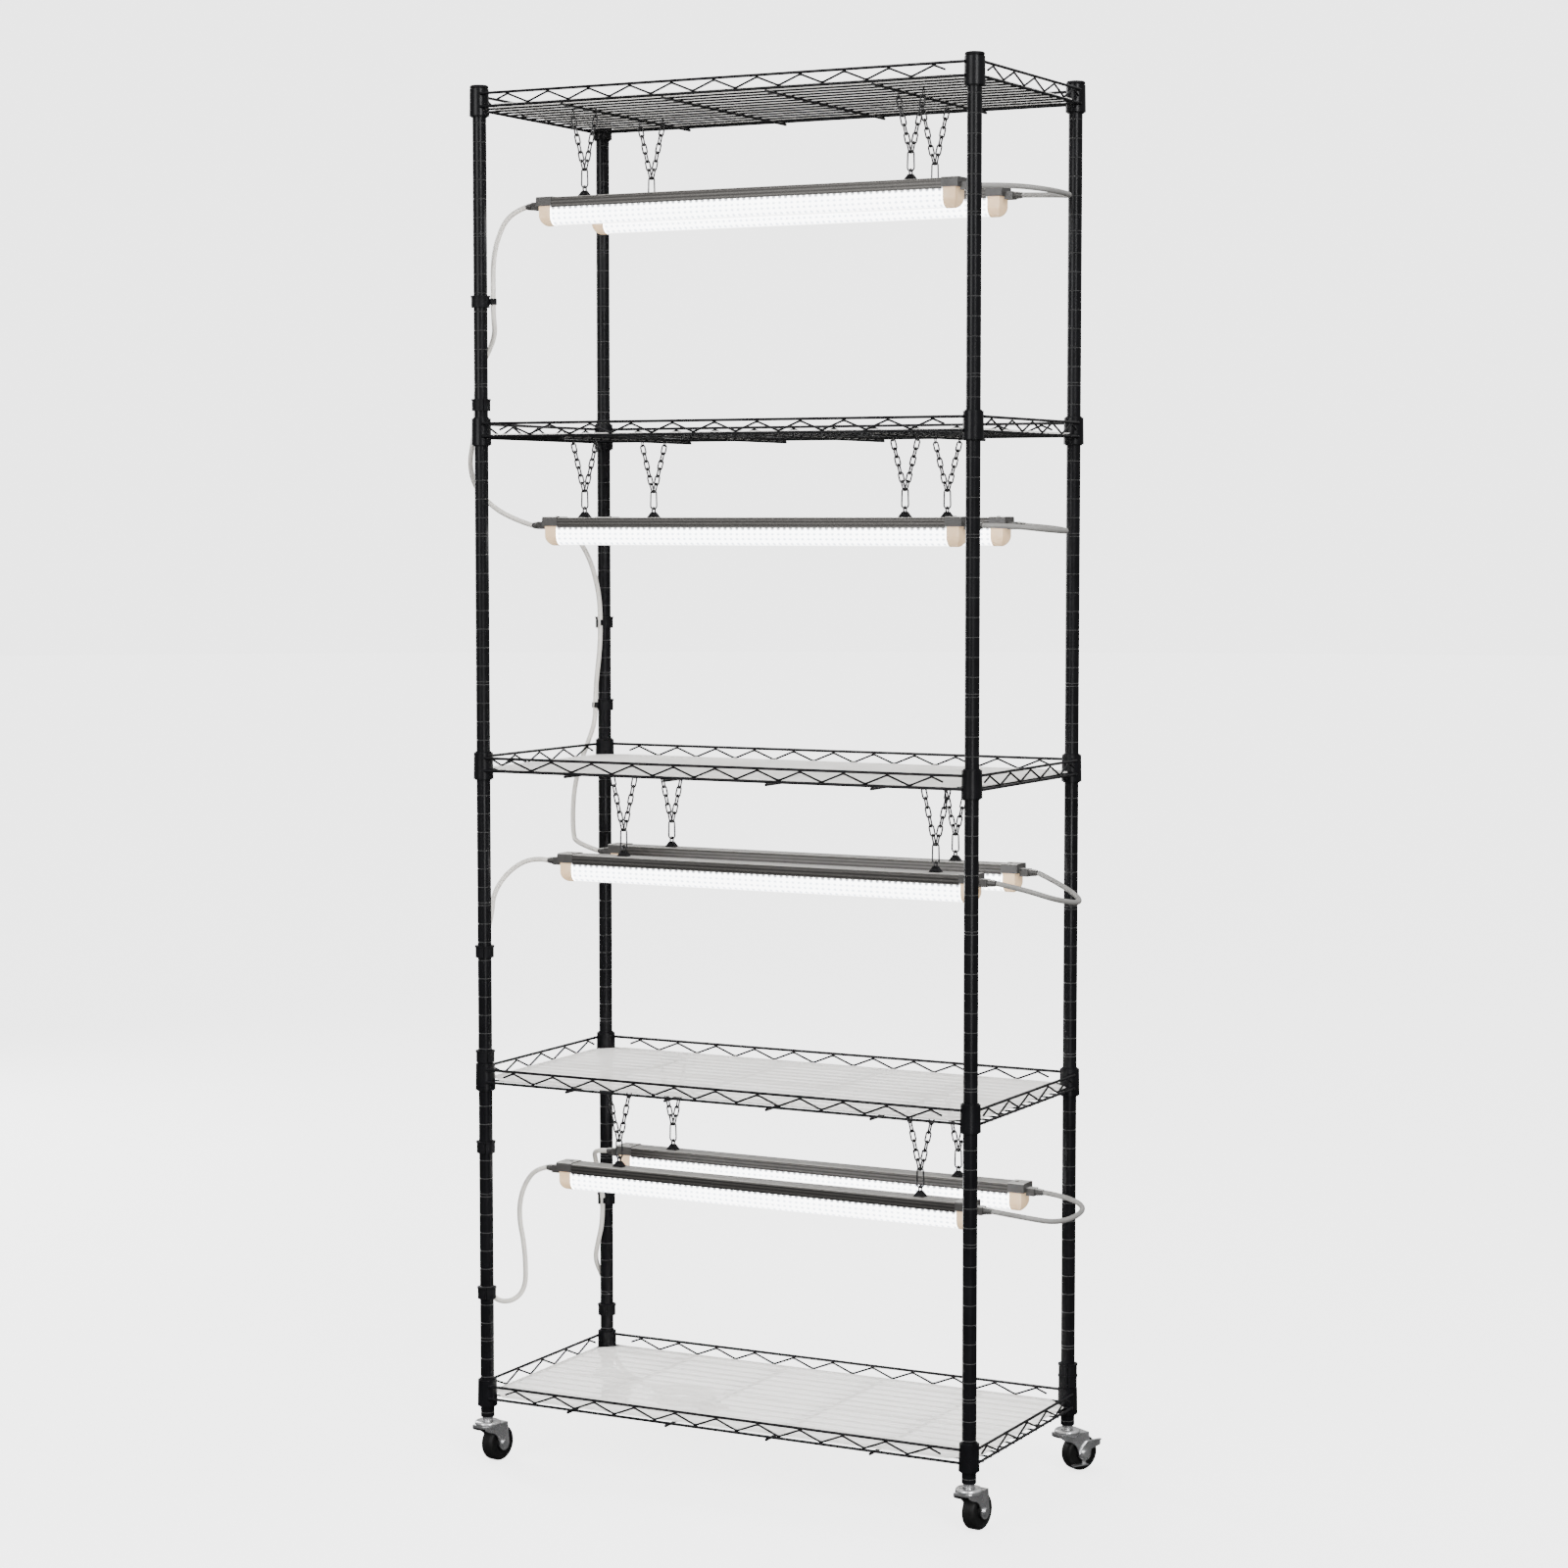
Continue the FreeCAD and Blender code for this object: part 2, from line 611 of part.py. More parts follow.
def snap_hook():
    """Long oval spring hook, 28 mm tall, with its slightly wider end down."""
    r1, r2, z1, z2 = 4.9, 4.5, 35.5, 52.5
    lean = math.asin((r1 - r2) / (z2 - z1))
    c, s = math.cos(lean), math.sin(lean)
    low_l, low_r = Vector(-r1 * c, 0, z1 + r1 * s), Vector(r1 * c, 0, z1 + r1 * s)
    top_l, top_r = Vector(-r2 * c, 0, z2 + r2 * s), Vector(r2 * c, 0, z2 + r2 * s)
    edges = [Part.Arc(low_l, Vector(0, 0, z1 - r1), low_r).toShape(), Part.LineSegment(low_r, top_r).toShape(),
             Part.Arc(top_r, Vector(0, 0, z2 + r2), top_l).toShape(), Part.LineSegment(top_l, low_l).toShape()]
    return closed_loop(edges, 2.2)


def roof_clip():
    """Small pyramid clip on the lamp's back with a bail ring."""
    def frame(w, d, z):
        pts = [Vector(-w, -d, z), Vector(w, -d, z), Vector(w, d, z), Vector(-w, d, z), Vector(-w, -d, z)]
        return Part.makePolygon(pts)
    pyramid = Part.makeLoft([frame(8, 6, 19), frame(3.4, 2.4, 26.5)], True, True)
    bail = Part.makeTorus(4.2, 1.1, Vector(0, 0, 28.8), Vector(1, 0, 0))
    return pyramid.fuse(bail)


def hanger(x, rise):
    """Clip, hook and two chain strands that spread to a deck bar at a given rise above the lamp."""
    parts = [roof_clip(), snap_hook()]
    for side in (-1, 1):
        top = Vector(18.0 * side, 0, rise)
        last = closed_loop(oval(7.0 + 2 * TOP_R, 2 * TOP_R), WIRE_D)
        last.Placement = Placement(top - Vector(0, 0, 3.5), Rotation())
        parts.append(last)
        low = Vector(1.3 * side, 0, 55.2)
        high = top - Vector(0, 0, 7.0 + TOP_R - 0.85)
        parts += strand(low, high, 6)
    whole = Part.makeCompound(parts)
    whole.Placement = Placement(Vector(x, 0, 0), Rotation())
    return whole


TIERS = [("tier_one", "level_two", 1), ("tier_two", "level_three", 2),
         ("tier_three", "level_four", 3), ("tier_four", "level_five", 4)]
LAMPS = {
    (1, "front"): (18.0, (-207.0, 255.0)), (1, "rear"): (28.0, (-205.0, 242.0)),
    (2, "front"): (22.0, (-198.0, 276.0)), (2, "rear"): (16.0, (-206.0, 236.0)),
    (3, "front"): (0.0, (-258.0, 230.0)), (3, "rear"): (-4.0, (-234.0, 222.0)),
    (4, "front"): (-7.0, (-256.0, 237.0)), (4, "rear"): (-11.0, (-236.0, 202.0)),
}
for tier, level, number in TIERS:
    rise = D[level] + D["side_low_z"] - D[tier]
    for row, sign in (("front", -1), ("rear", 1)):
        shift, hooks = LAMPS[(number, row)]
        at = (str(shift), "%d * lamp_y" % sign, tier)
        tag = "%d_%s" % (number, row)
        node("lamp_%s_housing" % tag, copy_of("lamp_housing_" + tag, housing, *at))
        node("lamp_%s_diffuser" % tag, copy_of("lamp_diffuser_" + tag, glow, *at))
        chains = Part.makeCompound([hanger(x - shift, rise) for x in hooks])
        hung = solid_feature("lamp_hangers_" + tag, chains)
        node("lamp_%s_hangers" % tag, place(hung, *at))


# ---------------------------------------------------------------- cable clips

def clip_master(name, reach, lift=-4.0):
    """Band round a post, with an arm and a C that holds the cable; reach 0 makes a plain band."""
    band = cylinder(name + "_band", "clip_r", "clip_height", z="-clip_height / 2")
    lip = cylinder(name + "_lip", "clip_r + 0.9", "2", z="clip_height / 2 - 2")
    pieces = [band, lip]
    holes = [cylinder(name + "_hole", "post_dia / 2", "40", z="-20"),
             box(name + "_split", "1.2", "30", "40", "-0.6", "-30", "-20")]
    if reach:
        pieces.append(box(name + "_arm", "4", str(reach - 13.5), "8", "-2", "11", str(lift)))
        pieces.append(cylinder(name + "_eye", "cord_dia / 2 + 1.7", "8", "0", str(reach), str(lift)))
        holes.append(cylinder(name + "_lead", "cord_dia / 2 + 0.05", "40", "0", str(reach), "-20"))
        holes.append(box(name + "_mouth", "4.6", "12", "40", "-2.3", str(reach), "-20"))
    return cut(name, fuse(name + "_solid", pieces), group(name + "_holes", holes))


FAR = 26.2
NEAR = 17.5
far_clip = clip_master("far_clip", FAR)
high_clip = clip_master("high_clip", FAR, 5.0)
near_clip = clip_master("near_clip", NEAR)
plain_clip = clip_master("plain_clip", 0)
# corner, height, clip, angle of the cable from +Y towards -X
CLIPS = [
    ("fl", 1610.0, near_clip, 297.4), ("fl", 1470.0, far_clip, 46.5), ("fl", 719.0, far_clip, 27.4),
    ("fl", 573.0, far_clip, 46.5), ("fl", 446.0, far_clip, 27.4), ("fl", 241.0, high_clip, 27.4),
    ("bl", 1165.0, near_clip, 190.9), ("bl", 1045.0, near_clip, 161.7), ("bl", 316.0, near_clip, 190.9),
    ("bl", 150.0, far_clip, 27.4), ("br", 144.0, plain_clip, 20.0), ("br", 128.0, plain_clip, 20.0),
]
clips = []
for number, (corner, z, master, angle) in enumerate(CLIPS):
    sx, sy = CORNERS[corner]
    clips.append(copy_of("clip_%d" % number, master, "%d * span_x / 2" % sx, "%d * span_y / 2" % sy,
                         str(z), turn_z(angle)))
node("cable_clips", group("cable_clips", clips))


# ---------------------------------------------------------------- cables

PLUG_FACE = LAMP_HALF + 23.0
PLUG_Z = 8.0


def exit_point(number, row, side, toward):
    """End of a cable at a lamp's plug (side -1 left, 1 right), clear of it however the cable leaves."""
    shift = LAMPS[(number, row)][0]
    tier = TIERS[number - 1][0]
    y = D["lamp_y"] * (-1 if row == "front" else 1)
    face = Vector(shift + side * PLUG_FACE, y, D[tier] + PLUG_Z)
    away = Vector(*toward) - face
    lean = math.hypot(away.y, away.z) / away.Length
    stand_off = 0.35 + D["cord_dia"] / 2 * lean
    return (face.x + side * stand_off, face.y, face.z)


LINKS = {
    1: [(402, -74, 402), (443, -44, 392), (449, 34, 396), (414, 71, 403)],
    2: [(404, -73, 833), (438, -44, 818), (443, 34, 807), (400, 71, 824)],
    3: [(381, -73, 1306), (416, -44, 1301), (420, 34, 1298), (382, 71, 1303)],
    4: [(376, -73, 1743), (419, -44, 1738), (423, 34, 1736), (376, 71, 1742)],
}
FL_BACK = (-380.4, -141.8)
FL_OUT = (-387.3, -147.1)
FL_SIDE = (-352.8, -157.0)
BL_BACK = (-380.4, 188.4)
BL_SIDE = (-365.0, 147.9)
FEEDS = {
    "cable_feed_upper": (
        (4, "front"),
        [(-363, -79, 1739), (-373, -92, 1725), (-373, -109, 1704), (-368, -128, 1682), (-359, -147, 1659),
         FL_SIDE + (1632,), FL_SIDE + (1590,), (-358.5, -143, 1566), (-373, -140, 1540), FL_OUT + (1512,),
         FL_OUT + (1446,), (-394, -147, 1418), (-400.6, -145, 1388), (-400, -130, 1356), (-388, -103, 1330),
         (-366, -83, 1314)],
        (3, "front")),
    "cable_feed_rear": (
        (3, "rear"),
        [(-361.4, 76, 1306), (-374, 86, 1300.5), (-377, 102, 1289), (-373, 119, 1271), (-369, 132, 1248),
         (-366.3, 142, 1219), BL_SIDE + (1189,), BL_SIDE + (1132,), (-373.8, 148.5, 1072), (-373.8, 148.5, 1022), (-386.5, 146, 988),
         (-397, 140, 955), (-402, 134, 921), (-395, 118, 888), (-381, 96, 862), (-368, 81, 849)],
        (2, "rear")),
    "cable_feed_lower": (
        (2, "front"),
        [(-344, -78, 843), (-370, -96, 826), (-379, -124, 797), (-373, -139, 766), FL_BACK + (738,),
         FL_BACK + (690,), FL_OUT + (610,), FL_OUT + (550,), FL_OUT + (505,), FL_BACK + (472,), FL_BACK + (415,),
         FL_BACK + (340,), FL_BACK + (285,), FL_BACK + (236,), (-370.4, -129.6, 220), (-356.3, -112.5, 220),
         (-346, -100, 236), (-346, -98, 268), (-351.5, -94.5, 302), (-361, -90, 330), (-362, -87, 358),
         (-355, -82, 384), (-341, -77, 402)],
        (1, "front")),
}


def add_cable(name, points):
    shape, length, radii = tube(points, D["cord_dia"])
    section = math.pi * (D["cord_dia"] / 2) ** 2
    print("%s length %.0f, volume ratio %.4f, radii %s" % (
        name, length, shape.Volume / (section * length), " ".join("%.0f" % r for r in radii)))
    return node(name, solid_feature(name, shape))


for number, middle in LINKS.items():
    add_cable("cable_link_%d" % number,
              [exit_point(number, "front", 1, middle[0])] + middle + [exit_point(number, "rear", 1, middle[-1])])
for name, (first, middle, last) in FEEDS.items():
    add_cable(name, [exit_point(*first, -1, middle[0])] + middle + [exit_point(*last, -1, middle[-1])])

COIL = Vector(-292, 262, 0)
COIL_R = 38.0
FLOOR = D["cord_dia"] / 2 + 0.1
LEAD = [exit_point(1, "rear", -1, (-329, 76, 405)), (-329, 76, 405), (-342, 86, 399.5), (-350, 102, 387), (-359, 124, 370),
        BL_SIDE + (338,), BL_SIDE + (284,), (-374, 149, 252), (-385.5, 160, 224), (-384, 177, 198),
        BL_BACK + (173,), BL_BACK + (124,), (-382.5, 196, 94), (-384, 212, 68), (-382, 234, 44), (-375, 258, 22),
        (-361, 281, 7), (-340, 300, FLOOR), (-313, COIL.y + COIL_R + 7, FLOOR)]
add_cable("mains_lead", LEAD)

coil = new_body("coil")
coil_sk = sketch_on(coil, "coil_half", "XZ_Plane")
draw(coil_sk, [(COIL_R - 8.5, 0.1), (COIL_R + 8.5, 0.1), (COIL_R + 10.5, 3.5), (COIL_R + 10.5, 10.5),
               (COIL_R + 8.5, 14), (COIL_R - 8.5, 14), (COIL_R - 10.5, 10.5), (COIL_R - 10.5, 3.5)])
revolve(coil, coil_sk)
node("mains_coil", place(group("mains_coil", [coil]), str(COIL.x), str(COIL.y)))

plug_body = new_body("plug_body")
pb = sketch_on(plug_body, "plug_plan", "XY_Plane", 1.0)
draw(pb, [(0, -6), (6, -9), (24, -12.5), (28, -12.5), (28, 12.5), (24, 12.5), (6, 9), (0, 6)])
pad(plug_body, pb, "17", False)
blade_a = box("plug_blade_a", "17", "1.5", "6.3", "28", "-7.1", "6.4")
blade_b = box("plug_blade_b", "17", "1.5", "6.3", "28", "5.6", "6.4")
relief = cone("plug_relief", "3.8", "5.6", "24", "-24", "0", "9.5", ALONG_X)
tail = cylinder("plug_tail", "cord_dia / 2", "10.5", "-34", "0", "9.5", ALONG_X)
plug_set = group("plug_set", [fuse("plug_moulding", [plug_body, relief, tail]), blade_a, blade_b])
node("mains_plug", place(group("mains_plug", [plug_set]), str(COIL.x + 52), str(COIL.y - COIL_R - 7)))


# ---------------------------------------------------------------- check and write

doc.recompute()
problems = []
for obj in doc.Objects:
    if "Invalid" in obj.State or "Error" in obj.State:
        problems.append(obj.Name)
for obj in NODES:
    if obj.Shape.isNull() or not obj.Shape.isValid() or not obj.Shape.Solids:
        problems.append("shape of " + obj.Label)
if problems:
    raise RuntimeError("bad objects: " + ", ".join(problems))
os.makedirs("parts", exist_ok=True)
for obj in NODES:
    obj.Shape.exportStep("parts/" + obj.Label + ".step")
whole = Part.makeCompound([obj.Shape for obj in NODES])
b = whole.BoundBox
print("%d nodes, %d solids" % (len(NODES), sum(len(o.Shape.Solids) for o in NODES)))
print("box %.1f..%.1f  %.1f..%.1f  %.1f..%.1f" % (b.XMin, b.XMax, b.YMin, b.YMax, b.ZMin, b.ZMax))
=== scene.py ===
import math

import bpy
from mathutils import Matrix, Vector

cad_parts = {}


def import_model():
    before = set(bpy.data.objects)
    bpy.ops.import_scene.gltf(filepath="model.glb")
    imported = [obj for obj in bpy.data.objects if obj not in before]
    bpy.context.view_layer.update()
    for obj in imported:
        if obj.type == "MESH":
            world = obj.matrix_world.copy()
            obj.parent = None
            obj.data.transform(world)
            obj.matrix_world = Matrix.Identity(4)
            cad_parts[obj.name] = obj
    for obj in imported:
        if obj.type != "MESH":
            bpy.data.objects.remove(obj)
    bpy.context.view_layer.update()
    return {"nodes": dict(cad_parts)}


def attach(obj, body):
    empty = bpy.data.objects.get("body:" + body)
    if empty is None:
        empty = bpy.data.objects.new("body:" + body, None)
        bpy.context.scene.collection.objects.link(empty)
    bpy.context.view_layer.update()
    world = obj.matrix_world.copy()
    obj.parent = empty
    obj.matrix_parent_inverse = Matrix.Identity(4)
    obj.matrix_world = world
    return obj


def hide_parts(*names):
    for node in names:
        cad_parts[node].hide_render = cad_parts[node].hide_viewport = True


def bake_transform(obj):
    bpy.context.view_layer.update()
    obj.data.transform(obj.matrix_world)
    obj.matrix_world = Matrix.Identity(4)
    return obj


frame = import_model()
MM = 0.001


# ---------------------------------------------------------------- node helpers

def new_material(name):
    mat = bpy.data.materials.new(name)
    mat.use_nodes = True
    nodes = mat.node_tree.nodes
    nodes.clear()
    out = nodes.new("ShaderNodeOutputMaterial")
    shader = nodes.new("ShaderNodeBsdfPrincipled")
    mat.node_tree.links.new(shader.outputs[0], out.inputs[0])
    return mat, mat.node_tree, shader, out


def coords(tree, stretch=(1, 1, 1)):
    where = tree.nodes.new("ShaderNodeTexCoord")
    scale = tree.nodes.new("ShaderNodeMapping")
    scale.inputs["Scale"].default_value = stretch
    tree.links.new(where.outputs["Object"], scale.inputs["Vector"])
    return scale.outputs["Vector"]


def noise(tree, scale, detail=3.0, stretch=(1, 1, 1), roughness=0.5):
    tex = tree.nodes.new("ShaderNodeTexNoise")
    tex.inputs["Scale"].default_value = scale
    tex.inputs["Detail"].default_value = detail
    tex.inputs["Roughness"].default_value = roughness
    tree.links.new(coords(tree, stretch), tex.inputs["Vector"])
    return tex.outputs["Fac"]


def remap(tree, value, low, high, start=0.3, end=0.7):
    node = tree.nodes.new("ShaderNodeMapRange")
    for key, number in (("From Min", start), ("From Max", end), ("To Min", low), ("To Max", high)):
        node.inputs[key].default_value = number
    tree.links.new(value, node.inputs["Value"])
    return node.outputs["Result"]


def colour_mix(tree, value, dark, light):
    ramp = tree.nodes.new("ShaderNodeValToRGB")
    ramp.color_ramp.elements[0].position = 0.3
    ramp.color_ramp.elements[1].position = 0.7
    ramp.color_ramp.elements[0].color = (*dark, 1)
    ramp.color_ramp.elements[1].color = (*light, 1)
    tree.links.new(value, ramp.inputs["Fac"])
    return ramp.outputs["Color"]


def bump(tree, shader, value, strength, distance):
    node = tree.nodes.new("ShaderNodeBump")
    node.inputs["Strength"].default_value = strength
    node.inputs["Distance"].default_value = distance
    tree.links.new(value, node.inputs["Height"])
    tree.links.new(node.outputs["Normal"], shader.inputs["Normal"])


def surface(name, colour, spread=0.12, rough=0.4, rough_spread=0.08, metal=0.0, scale=60.0,
            grain=900.0, grain_depth=0.00004, stretch=(1, 1, 1), coat=0.0, gloss=0.5):
    """A worn real finish: uneven colour and gloss over a fine grain."""
    mat, tree, shader, out = new_material(name)
    patches = noise(tree, scale, 4.0, stretch)
    dark = [c * (1 - spread) for c in colour]
    light = [min(1.0, c * (1 + spread)) for c in colour]
    tree.links.new(colour_mix(tree, patches, dark, light), shader.inputs["Base Color"])
    smears = noise(tree, scale * 0.35, 5.0, stretch)
    sheen = remap(tree, smears, rough - rough_spread, rough + rough_spread)
    tree.links.new(sheen, shader.inputs["Roughness"])
    shader.inputs["Metallic"].default_value = metal
    shader.inputs["Coat Weight"].default_value = coat
    shader.inputs["Coat Roughness"].default_value = 0.2
    shader.inputs["Specular IOR Level"].default_value = gloss
    bump(tree, shader, noise(tree, grain, 2.0, stretch), 0.35, grain_depth)
    return mat


BLACK = surface("epoxy_black", (0.005, 0.005, 0.006), 0.25, 0.28, 0.05, scale=40, grain=700, gloss=0.14)
PLASTIC = surface("nylon_black", (0.006, 0.006, 0.007), 0.2, 0.46, 0.06, scale=80, grain=1500, gloss=0.1)
ZINC = surface("zinc", (0.60, 0.60, 0.61), 0.14, 0.27, 0.07, 0.92, scale=120, grain=1400)
RUBBER = surface("tread_black", (0.008, 0.008, 0.008), 0.3, 0.45, 0.08, scale=150, grain=1800, gloss=0.14)
# Painted highlight: post grooves get a lighter, glossier black where light catches them.
GROOVE_PAINTED_HIGHLIGHT = surface("groove_painted_highlight", (0.045, 0.045, 0.046), 0.3, 0.3, 0.05, scale=200, grain=1500, gloss=0.5)
GREY = surface("lamp_grey", (0.055, 0.053, 0.051), 0.08, 0.42, 0.06, scale=90, grain=1200)
# Painted highlight: a lighter copy of the lamp grey for faces that face up, as if lit from above.
GREY_PAINTED_LIT_TOP = surface("lamp_grey_light", (0.50, 0.492, 0.475), 0.08, 0.4, 0.06, scale=90, grain=1200)
BOARD = surface("led_board", (0.82, 0.82, 0.80), 0.05, 0.4, 0.06, scale=90, grain=1200)
NICKEL = surface("dark_nickel", (0.05, 0.05, 0.052), 0.35, 0.32, 0.1, 0.8, scale=200, grain=1600)
CABLE = surface("cable_vinyl", (0.80, 0.77, 0.715), 0.06, 0.42, 0.07, scale=60, grain=900)
CABLE_GREY = surface("link_vinyl", (0.27, 0.264, 0.253), 0.08, 0.42, 0.07, scale=60, grain=900)
BRASS = surface("blade_nickel", (0.62, 0.58, 0.5), 0.1, 0.3, 0.08, 1.0, scale=200, grain=1500)


def bands(tree, vector, axis, scale, distortion=0.0):
    wave = tree.nodes.new("ShaderNodeTexWave")
    wave.wave_type = "BANDS"
    wave.bands_direction = axis
    wave.inputs["Scale"].default_value = scale
    wave.inputs["Distortion"].default_value = distortion
    wave.inputs["Detail"].default_value = 1.0
    tree.links.new(vector, wave.inputs["Vector"])
    return wave.outputs["Fac"]


def maths(tree, operation, a, b):
    node = tree.nodes.new("ShaderNodeMath")
    node.operation = operation
    for socket, value in zip(node.inputs, (a, b)):
        if isinstance(value, (int, float)):
            socket.default_value = value
        else:
            tree.links.new(value, socket)
    return node.outputs[0]


def extrusion_material(name, dark, light, metal):
    """Satin extrusion with drawn lines that run along the lamp."""
    mat, tree, shader, out = new_material(name)
    lines = bands(tree, coords(tree), "Z", 70.0)
    streaks = noise(tree, 900.0, 3.0, (0.004, 1, 1))
    tone = maths(tree, "ADD", maths(tree, "MULTIPLY", lines, 0.6), maths(tree, "MULTIPLY", streaks, 0.5))
    tree.links.new(colour_mix(tree, tone, dark, light), shader.inputs["Base Color"])
    tree.links.new(remap(tree, streaks, 0.34, 0.46), shader.inputs["Roughness"])
    shader.inputs["Metallic"].default_value = metal
    bump(tree, shader, lines, 0.5, 0.0002)
    return mat


def cap_material():
    """Cream end cap with a little of the lamp's light coming through it."""
    mat, tree, shader, out = new_material("cream_cap")
    cloud = noise(tree, 70.0, 4.0)
    tint = colour_mix(tree, cloud, (0.80, 0.55, 0.32), (0.88, 0.64, 0.40))
    tree.links.new(tint, shader.inputs["Base Color"])
    tree.links.new(tint, shader.inputs["Emission Color"])
    shader.inputs["Emission Strength"].default_value = 0.7
    tree.links.new(remap(tree, noise(tree, 40.0), 0.34, 0.44), shader.inputs["Roughness"])
    bump(tree, shader, noise(tree, 1100.0, 2.0), 0.3, 0.00004)
    return mat


ALU = extrusion_material("dark_extrusion", (0.040, 0.038, 0.036), (0.085, 0.081, 0.077), 0.8)
# Painted highlight: a lighter copy of the extrusion for faces that face up, as if lit from above.
ALU_PAINTED_LIT_TOP = extrusion_material("extrusion_painted_lit_top", (0.36, 0.352, 0.34), (0.50, 0.49, 0.475), 0.5)
CREAM = cap_material()


def liner_material():
    """Frosted sheet: mostly diffuse, with the wires below showing through faintly."""
    mat, tree, shader, out = new_material("frosted_sheet")
    cloud = noise(tree, 9.0, 5.0)
    tint = colour_mix(tree, cloud, (0.88, 0.862, 0.835), (0.93, 0.917, 0.90))
    tree.links.new(tint, shader.inputs["Base Color"])
    tree.links.new(remap(tree, noise(tree, 25.0), 0.34, 0.48), shader.inputs["Roughness"])
    bump(tree, shader, noise(tree, 600.0, 2.0), 0.3, 0.00005)
    clear = tree.nodes.new("ShaderNodeBsdfTransparent")
    through = tree.nodes.new("ShaderNodeBsdfTranslucent")
    through.inputs["Color"].default_value = (0.93, 0.915, 0.89, 1)
    body = tree.nodes.new("ShaderNodeMixShader")
    body.inputs[0].default_value = 0.4
    tree.links.new(shader.outputs[0], body.inputs[1])
    tree.links.new(through.outputs[0], body.inputs[2])
    mix = tree.nodes.new("ShaderNodeMixShader")
    tree.links.new(remap(tree, cloud, 0.58, 0.64), mix.inputs[0])
    tree.links.new(clear.outputs[0], mix.inputs[1])
    tree.links.new(body.outputs[0], mix.inputs[2])
    tree.links.new(mix.outputs[0], out.inputs[0])
    return mat


def glow_material():
    """Lit diffuser: brilliant white, faint rows of diodes, small dark teeth along the housing's edge."""
    mat, tree, shader, out = new_material("lit_diffuser")
    tree.links.new(colour_mix(tree, noise(tree, 50.0), (0.86, 0.88, 0.9), (0.92, 0.93, 0.95)),
                   shader.inputs["Base Color"])
    tree.links.new(remap(tree, noise(tree, 50.0), 0.25, 0.35), shader.inputs["Roughness"])
    where = tree.nodes.new("ShaderNodeTexCoord").outputs["Generated"]
    split = tree.nodes.new("ShaderNodeSeparateXYZ")
    tree.links.new(where, split.inputs[0])
    along = bands(tree, where, "X", 22.0)
    across = bands(tree, where, "Z", 1.3)
    dots = maths(tree, "MULTIPLY", along, across)
    light = colour_mix(tree, dots, (1.0, 1.0, 1.0), (0.80, 0.88, 1.0))
    tree.links.new(light, shader.inputs["Emission Color"])
    edge = remap(tree, split.outputs["Z"], 0.0, 1.0, 0.80, 0.86)
    teeth = remap(tree, maths(tree, "MULTIPLY", along, edge), 1.0, 0.12, 0.25, 0.6)
    rim = remap(tree, split.outputs["Z"], 1.0, 0.1, 0.90, 0.93)
    lip = remap(tree, split.outputs["Z"], 0.15, 1.0, 0.01, 0.07)
    shade = maths(tree, "MULTIPLY", maths(tree, "MULTIPLY", teeth, rim), lip)
    power = maths(tree, "MULTIPLY", remap(tree, dots, 8.0, 3.4, 0.35, 0.8), shade)
    tree.links.new(power, shader.inputs["Emission Strength"])
    return mat


LINER = liner_material()
GLOW = glow_material()


# ---------------------------------------------------------------- CAD nodes

SHARP_ANGLE = math.radians(32)


def smooth(mesh):
    for face in mesh.polygons:
        face.use_smooth = True
    mesh.set_sharp_from_angle(angle=SHARP_ANGLE)


def paint(name, mats, choose=None):
    """Gives a CAD node its finishes; choose picks one for each face."""
    obj = frame["nodes"][name]
    obj.data.materials.clear()
    for mat in mats:
        obj.data.materials.append(mat)
    smooth(obj.data)
    for face in obj.data.polygons:
        face.material_index = choose(face) if choose else 0


for number in range(1, 6):
    paint("shelf_%d" % number, [BLACK])
# The slanted groove faces of the posts get the painted-highlight groove material.
for name in ("lower_posts", "upper_posts"):
    paint(name, [BLACK, GROOVE_PAINTED_HIGHLIGHT], lambda face: 1 if 0.2 < abs(face.normal.z) < 0.95 else 0)
for name in ("post_caps", "foot_inserts", "split_sleeves", "cable_clips"):
    paint(name, [PLASTIC])
paint("post_joiners", [ZINC])
paint("caster_stems", [ZINC])
paint("shelf_liners", [LINER])
for corner in ("fl", "fr", "br", "bl"):
    paint("fork_" + corner, [ZINC])
    paint("wheel_" + corner, [RUBBER])
for corner in ("br", "bl"):
    paint("brake_lever_" + corner, [ZINC])

LAMP_SHIFT = {(1, "front"): 18, (1, "rear"): 28, (2, "front"): 22, (2, "rear"): 16,
              (3, "front"): 0, (3, "rear"): -4, (4, "front"): -7, (4, "rear"): -11}
LAMP_Z = {1: 398, 2: 832, 3: 1298, 4: 1736}
LAMPS = sorted(LAMP_SHIFT)
LAMP_Y = 75
BLOCK_START = 0.2941           # an end block begins this far from the lamp's middle
BOARD_END = 0.2939             # the LED board ends just before it
BOARD_Z = (0.0068, 0.0086)     # the board's two faces, above the lamp's level
CAP_START = 0.29605            # the diffuser's end cap
CLIP_TOP = 0.0275              # hanger faces below this are the clip, above it the chain
FACES_UP = 0.7


def lamp_name(key):
    return "lamp_%d_%s" % key


